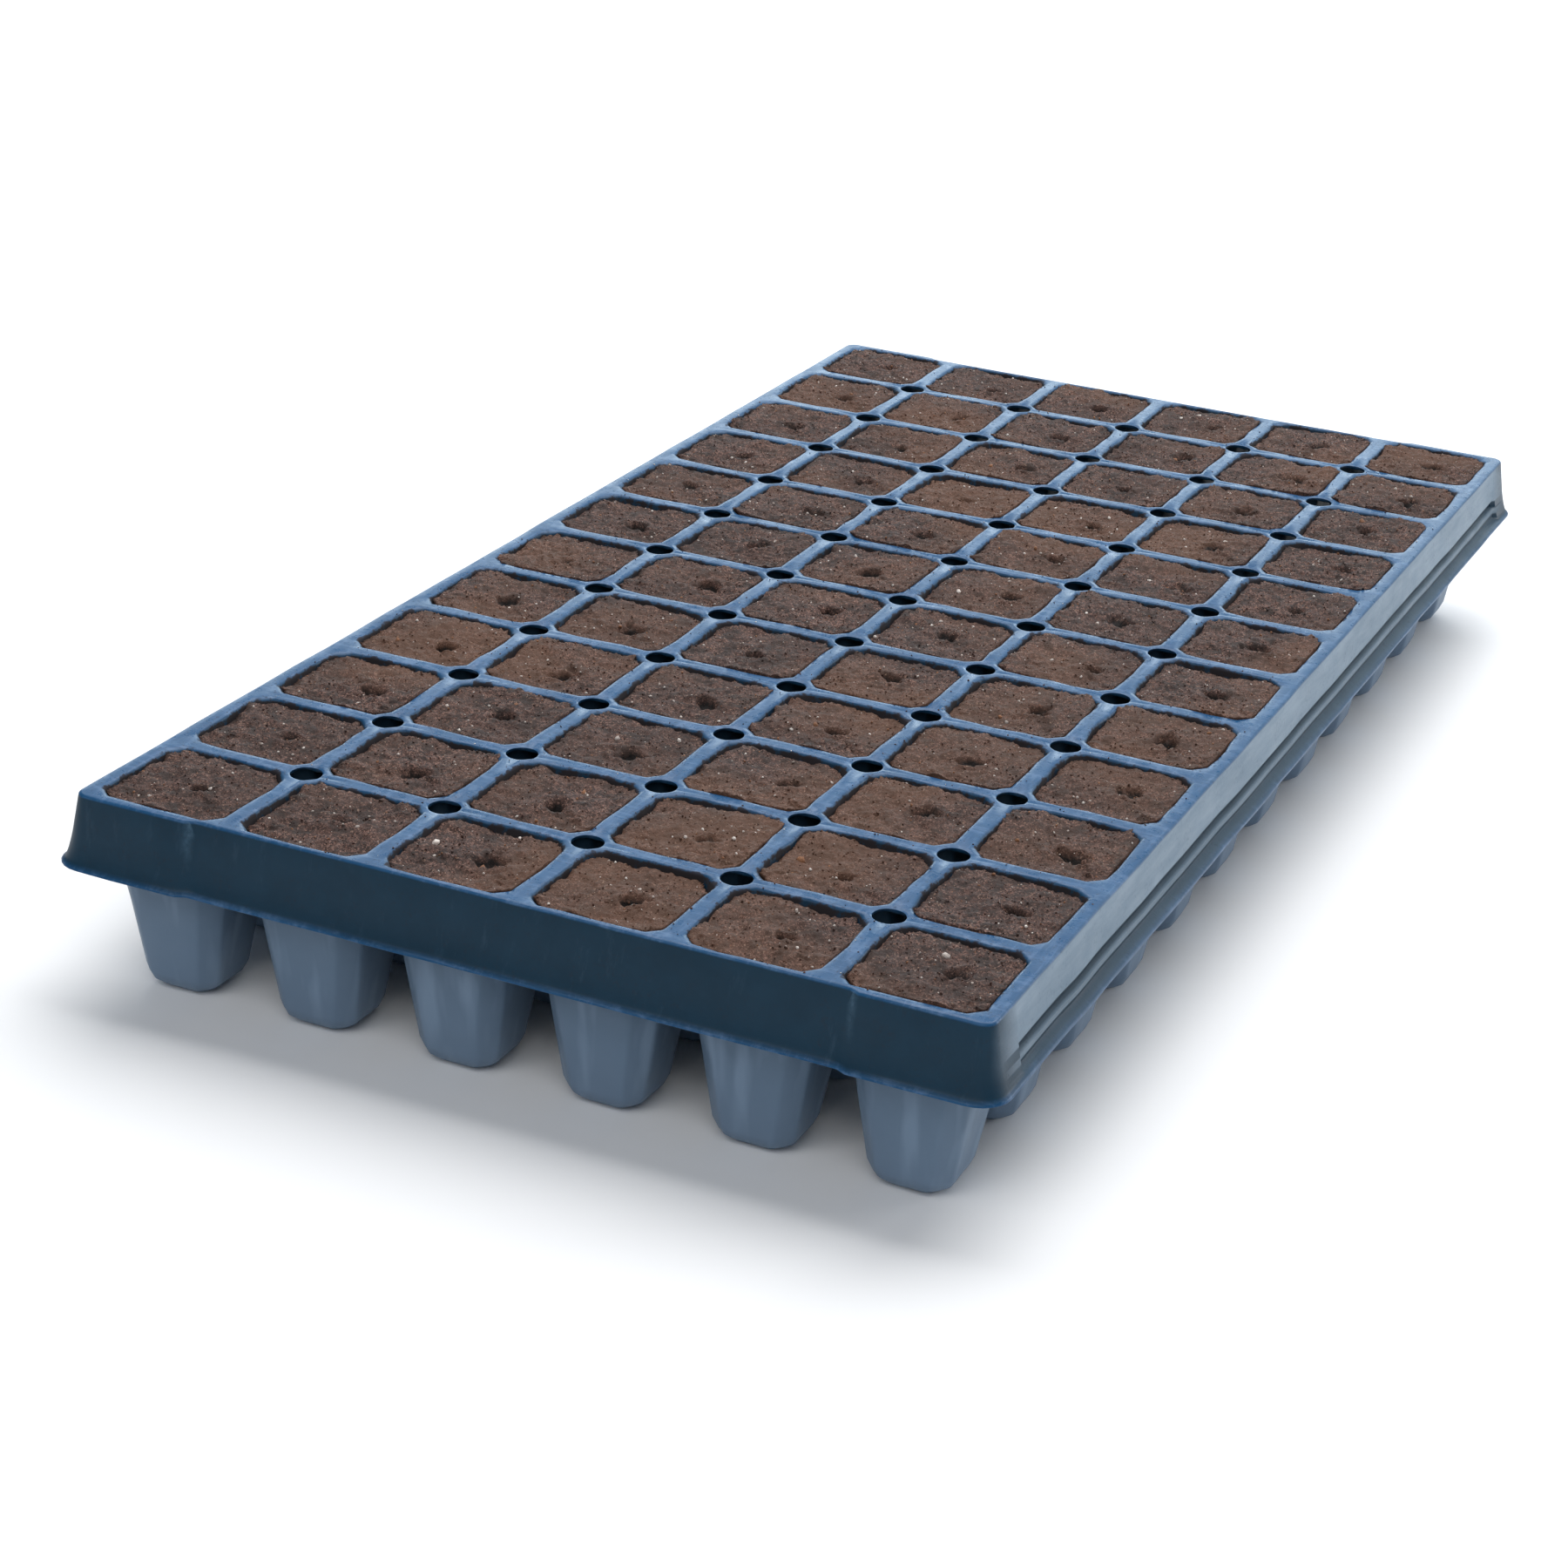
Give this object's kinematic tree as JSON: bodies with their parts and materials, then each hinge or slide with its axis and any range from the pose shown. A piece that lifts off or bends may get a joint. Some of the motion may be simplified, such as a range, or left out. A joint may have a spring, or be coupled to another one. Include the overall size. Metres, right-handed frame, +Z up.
{
  "type": "plug tray",
  "caption": "Thin moulded plastic seedling tray: a grid of tapered cells under a flat ribbed deck with air holes and a flared skirt, each cell holding a plug of growing medium",
  "frame": {"origin": "on the surface that the cells stand on, under the middle of the tray", "axes": "+X across the tray, +Y along it, +Z up out of the cells; row 1 is the row at -Y and cell 1 is the one at -X"},
  "size_m": [0.2784, 0.5404, 0.0611],
  "materials": {
    "plastic": "satin",
    "medium": "matte"
  },
  "bodies": {
    "tray": {"tray": "plastic"},
    "plug_row1_cell1": {"plug_row1_cell1": "medium"},
    "plug_row1_cell2": {"plug_row1_cell2": "medium"},
    "plug_row1_cell3": {"plug_row1_cell3": "medium"},
    "plug_row1_cell4": {"plug_row1_cell4": "medium"},
    "plug_row1_cell5": {"plug_row1_cell5": "medium"},
    "plug_row1_cell6": {"plug_row1_cell6": "medium"},
    "plug_row2_cell1": {"plug_row2_cell1": "medium"},
    "plug_row2_cell2": {"plug_row2_cell2": "medium"},
    "plug_row2_cell3": {"plug_row2_cell3": "medium"},
    "plug_row2_cell4": {"plug_row2_cell4": "medium"},
    "plug_row2_cell5": {"plug_row2_cell5": "medium"},
    "plug_row2_cell6": {"plug_row2_cell6": "medium"},
    "plug_row3_cell1": {"plug_row3_cell1": "medium"},
    "plug_row3_cell2": {"plug_row3_cell2": "medium"},
    "plug_row3_cell3": {"plug_row3_cell3": "medium"},
    "plug_row3_cell4": {"plug_row3_cell4": "medium"},
    "plug_row3_cell5": {"plug_row3_cell5": "medium"},
    "plug_row3_cell6": {"plug_row3_cell6": "medium"},
    "plug_row4_cell1": {"plug_row4_cell1": "medium"},
    "plug_row4_cell2": {"plug_row4_cell2": "medium"},
    "plug_row4_cell3": {"plug_row4_cell3": "medium"},
    "plug_row4_cell4": {"plug_row4_cell4": "medium"},
    "plug_row4_cell5": {"plug_row4_cell5": "medium"},
    "plug_row4_cell6": {"plug_row4_cell6": "medium"},
    "plug_row5_cell1": {"plug_row5_cell1": "medium"},
    "plug_row5_cell2": {"plug_row5_cell2": "medium"},
    "plug_row5_cell3": {"plug_row5_cell3": "medium"},
    "plug_row5_cell4": {"plug_row5_cell4": "medium"},
    "plug_row5_cell5": {"plug_row5_cell5": "medium"},
    "plug_row5_cell6": {"plug_row5_cell6": "medium"},
    "plug_row6_cell1": {"plug_row6_cell1": "medium"},
    "plug_row6_cell2": {"plug_row6_cell2": "medium"},
    "plug_row6_cell3": {"plug_row6_cell3": "medium"},
    "plug_row6_cell4": {"plug_row6_cell4": "medium"},
    "plug_row6_cell5": {"plug_row6_cell5": "medium"},
    "plug_row6_cell6": {"plug_row6_cell6": "medium"},
    "plug_row7_cell1": {"plug_row7_cell1": "medium"},
    "plug_row7_cell2": {"plug_row7_cell2": "medium"},
    "plug_row7_cell3": {"plug_row7_cell3": "medium"},
    "plug_row7_cell4": {"plug_row7_cell4": "medium"},
    "plug_row7_cell5": {"plug_row7_cell5": "medium"},
    "plug_row7_cell6": {"plug_row7_cell6": "medium"},
    "plug_row8_cell1": {"plug_row8_cell1": "medium"},
    "plug_row8_cell2": {"plug_row8_cell2": "medium"},
    "plug_row8_cell3": {"plug_row8_cell3": "medium"},
    "plug_row8_cell4": {"plug_row8_cell4": "medium"},
    "plug_row8_cell5": {"plug_row8_cell5": "medium"},
    "plug_row8_cell6": {"plug_row8_cell6": "medium"},
    "plug_row9_cell1": {"plug_row9_cell1": "medium"},
    "plug_row9_cell2": {"plug_row9_cell2": "medium"},
    "plug_row9_cell3": {"plug_row9_cell3": "medium"},
    "plug_row9_cell4": {"plug_row9_cell4": "medium"},
    "plug_row9_cell5": {"plug_row9_cell5": "medium"},
    "plug_row9_cell6": {"plug_row9_cell6": "medium"},
    "plugs_row10": {"plugs_row10": "medium"},
    "plugs_row11": {"plugs_row11": "medium"},
    "plugs_row12": {"plugs_row12": "medium"}
  },
  "joints": [
    {"name": "lift_row1_cell1", "type": "slide", "parent": "tray", "child": "plug_row1_cell1", "axis": [0, 0, 1], "range_m": [0, 0.065]},
    {"name": "lift_row1_cell2", "type": "slide", "parent": "tray", "child": "plug_row1_cell2", "axis": [0, 0, 1], "range_m": [0, 0.065]},
    {"name": "lift_row1_cell3", "type": "slide", "parent": "tray", "child": "plug_row1_cell3", "axis": [0, 0, 1], "range_m": [0, 0.065]},
    {"name": "lift_row1_cell4", "type": "slide", "parent": "tray", "child": "plug_row1_cell4", "axis": [0, 0, 1], "range_m": [0, 0.065]},
    {"name": "lift_row1_cell5", "type": "slide", "parent": "tray", "child": "plug_row1_cell5", "axis": [0, 0, 1], "range_m": [0, 0.065]},
    {"name": "lift_row1_cell6", "type": "slide", "parent": "tray", "child": "plug_row1_cell6", "axis": [0, 0, 1], "range_m": [0, 0.065]},
    {"name": "lift_row2_cell1", "type": "slide", "parent": "tray", "child": "plug_row2_cell1", "axis": [0, 0, 1], "range_m": [0, 0.065]},
    {"name": "lift_row2_cell2", "type": "slide", "parent": "tray", "child": "plug_row2_cell2", "axis": [0, 0, 1], "range_m": [0, 0.065]},
    {"name": "lift_row2_cell3", "type": "slide", "parent": "tray", "child": "plug_row2_cell3", "axis": [0, 0, 1], "range_m": [0, 0.065]},
    {"name": "lift_row2_cell4", "type": "slide", "parent": "tray", "child": "plug_row2_cell4", "axis": [0, 0, 1], "range_m": [0, 0.065]},
    {"name": "lift_row2_cell5", "type": "slide", "parent": "tray", "child": "plug_row2_cell5", "axis": [0, 0, 1], "range_m": [0, 0.065]},
    {"name": "lift_row2_cell6", "type": "slide", "parent": "tray", "child": "plug_row2_cell6", "axis": [0, 0, 1], "range_m": [0, 0.065]},
    {"name": "lift_row3_cell1", "type": "slide", "parent": "tray", "child": "plug_row3_cell1", "axis": [0, 0, 1], "range_m": [0, 0.065]},
    {"name": "lift_row3_cell2", "type": "slide", "parent": "tray", "child": "plug_row3_cell2", "axis": [0, 0, 1], "range_m": [0, 0.065]},
    {"name": "lift_row3_cell3", "type": "slide", "parent": "tray", "child": "plug_row3_cell3", "axis": [0, 0, 1], "range_m": [0, 0.065]},
    {"name": "lift_row3_cell4", "type": "slide", "parent": "tray", "child": "plug_row3_cell4", "axis": [0, 0, 1], "range_m": [0, 0.065]},
    {"name": "lift_row3_cell5", "type": "slide", "parent": "tray", "child": "plug_row3_cell5", "axis": [0, 0, 1], "range_m": [0, 0.065]},
    {"name": "lift_row3_cell6", "type": "slide", "parent": "tray", "child": "plug_row3_cell6", "axis": [0, 0, 1], "range_m": [0, 0.065]},
    {"name": "lift_row4_cell1", "type": "slide", "parent": "tray", "child": "plug_row4_cell1", "axis": [0, 0, 1], "range_m": [0, 0.065]},
    {"name": "lift_row4_cell2", "type": "slide", "parent": "tray", "child": "plug_row4_cell2", "axis": [0, 0, 1], "range_m": [0, 0.065]},
    {"name": "lift_row4_cell3", "type": "slide", "parent": "tray", "child": "plug_row4_cell3", "axis": [0, 0, 1], "range_m": [0, 0.065]},
    {"name": "lift_row4_cell4", "type": "slide", "parent": "tray", "child": "plug_row4_cell4", "axis": [0, 0, 1], "range_m": [0, 0.065]},
    {"name": "lift_row4_cell5", "type": "slide", "parent": "tray", "child": "plug_row4_cell5", "axis": [0, 0, 1], "range_m": [0, 0.065]},
    {"name": "lift_row4_cell6", "type": "slide", "parent": "tray", "child": "plug_row4_cell6", "axis": [0, 0, 1], "range_m": [0, 0.065]},
    {"name": "lift_row5_cell1", "type": "slide", "parent": "tray", "child": "plug_row5_cell1", "axis": [0, 0, 1], "range_m": [0, 0.065]},
    {"name": "lift_row5_cell2", "type": "slide", "parent": "tray", "child": "plug_row5_cell2", "axis": [0, 0, 1], "range_m": [0, 0.065]},
    {"name": "lift_row5_cell3", "type": "slide", "parent": "tray", "child": "plug_row5_cell3", "axis": [0, 0, 1], "range_m": [0, 0.065]},
    {"name": "lift_row5_cell4", "type": "slide", "parent": "tray", "child": "plug_row5_cell4", "axis": [0, 0, 1], "range_m": [0, 0.065]},
    {"name": "lift_row5_cell5", "type": "slide", "parent": "tray", "child": "plug_row5_cell5", "axis": [0, 0, 1], "range_m": [0, 0.065]},
    {"name": "lift_row5_cell6", "type": "slide", "parent": "tray", "child": "plug_row5_cell6", "axis": [0, 0, 1], "range_m": [0, 0.065]},
    {"name": "lift_row6_cell1", "type": "slide", "parent": "tray", "child": "plug_row6_cell1", "axis": [0, 0, 1], "range_m": [0, 0.065]},
    {"name": "lift_row6_cell2", "type": "slide", "parent": "tray", "child": "plug_row6_cell2", "axis": [0, 0, 1], "range_m": [0, 0.065]},
    {"name": "lift_row6_cell3", "type": "slide", "parent": "tray", "child": "plug_row6_cell3", "axis": [0, 0, 1], "range_m": [0, 0.065]},
    {"name": "lift_row6_cell4", "type": "slide", "parent": "tray", "child": "plug_row6_cell4", "axis": [0, 0, 1], "range_m": [0, 0.065]},
    {"name": "lift_row6_cell5", "type": "slide", "parent": "tray", "child": "plug_row6_cell5", "axis": [0, 0, 1], "range_m": [0, 0.065]},
    {"name": "lift_row6_cell6", "type": "slide", "parent": "tray", "child": "plug_row6_cell6", "axis": [0, 0, 1], "range_m": [0, 0.065]},
    {"name": "lift_row7_cell1", "type": "slide", "parent": "tray", "child": "plug_row7_cell1", "axis": [0, 0, 1], "range_m": [0, 0.065]},
    {"name": "lift_row7_cell2", "type": "slide", "parent": "tray", "child": "plug_row7_cell2", "axis": [0, 0, 1], "range_m": [0, 0.065]},
    {"name": "lift_row7_cell3", "type": "slide", "parent": "tray", "child": "plug_row7_cell3", "axis": [0, 0, 1], "range_m": [0, 0.065]},
    {"name": "lift_row7_cell4", "type": "slide", "parent": "tray", "child": "plug_row7_cell4", "axis": [0, 0, 1], "range_m": [0, 0.065]},
    {"name": "lift_row7_cell5", "type": "slide", "parent": "tray", "child": "plug_row7_cell5", "axis": [0, 0, 1], "range_m": [0, 0.065]},
    {"name": "lift_row7_cell6", "type": "slide", "parent": "tray", "child": "plug_row7_cell6", "axis": [0, 0, 1], "range_m": [0, 0.065]},
    {"name": "lift_row8_cell1", "type": "slide", "parent": "tray", "child": "plug_row8_cell1", "axis": [0, 0, 1], "range_m": [0, 0.065]},
    {"name": "lift_row8_cell2", "type": "slide", "parent": "tray", "child": "plug_row8_cell2", "axis": [0, 0, 1], "range_m": [0, 0.065]},
    {"name": "lift_row8_cell3", "type": "slide", "parent": "tray", "child": "plug_row8_cell3", "axis": [0, 0, 1], "range_m": [0, 0.065]},
    {"name": "lift_row8_cell4", "type": "slide", "parent": "tray", "child": "plug_row8_cell4", "axis": [0, 0, 1], "range_m": [0, 0.065]},
    {"name": "lift_row8_cell5", "type": "slide", "parent": "tray", "child": "plug_row8_cell5", "axis": [0, 0, 1], "range_m": [0, 0.065]},
    {"name": "lift_row8_cell6", "type": "slide", "parent": "tray", "child": "plug_row8_cell6", "axis": [0, 0, 1], "range_m": [0, 0.065]},
    {"name": "lift_row9_cell1", "type": "slide", "parent": "tray", "child": "plug_row9_cell1", "axis": [0, 0, 1], "range_m": [0, 0.065]},
    {"name": "lift_row9_cell2", "type": "slide", "parent": "tray", "child": "plug_row9_cell2", "axis": [0, 0, 1], "range_m": [0, 0.065]},
    {"name": "lift_row9_cell3", "type": "slide", "parent": "tray", "child": "plug_row9_cell3", "axis": [0, 0, 1], "range_m": [0, 0.065]},
    {"name": "lift_row9_cell4", "type": "slide", "parent": "tray", "child": "plug_row9_cell4", "axis": [0, 0, 1], "range_m": [0, 0.065]},
    {"name": "lift_row9_cell5", "type": "slide", "parent": "tray", "child": "plug_row9_cell5", "axis": [0, 0, 1], "range_m": [0, 0.065]},
    {"name": "lift_row9_cell6", "type": "slide", "parent": "tray", "child": "plug_row9_cell6", "axis": [0, 0, 1], "range_m": [0, 0.065]},
    {"name": "lift_row10", "type": "slide", "parent": "tray", "child": "plugs_row10", "axis": [0, 0, 1], "range_m": [0, 0.065]},
    {"name": "lift_row11", "type": "slide", "parent": "tray", "child": "plugs_row11", "axis": [0, 0, 1], "range_m": [0, 0.065]},
    {"name": "lift_row12", "type": "slide", "parent": "tray", "child": "plugs_row12", "axis": [0, 0, 1], "range_m": [0, 0.065]}
  ]
}
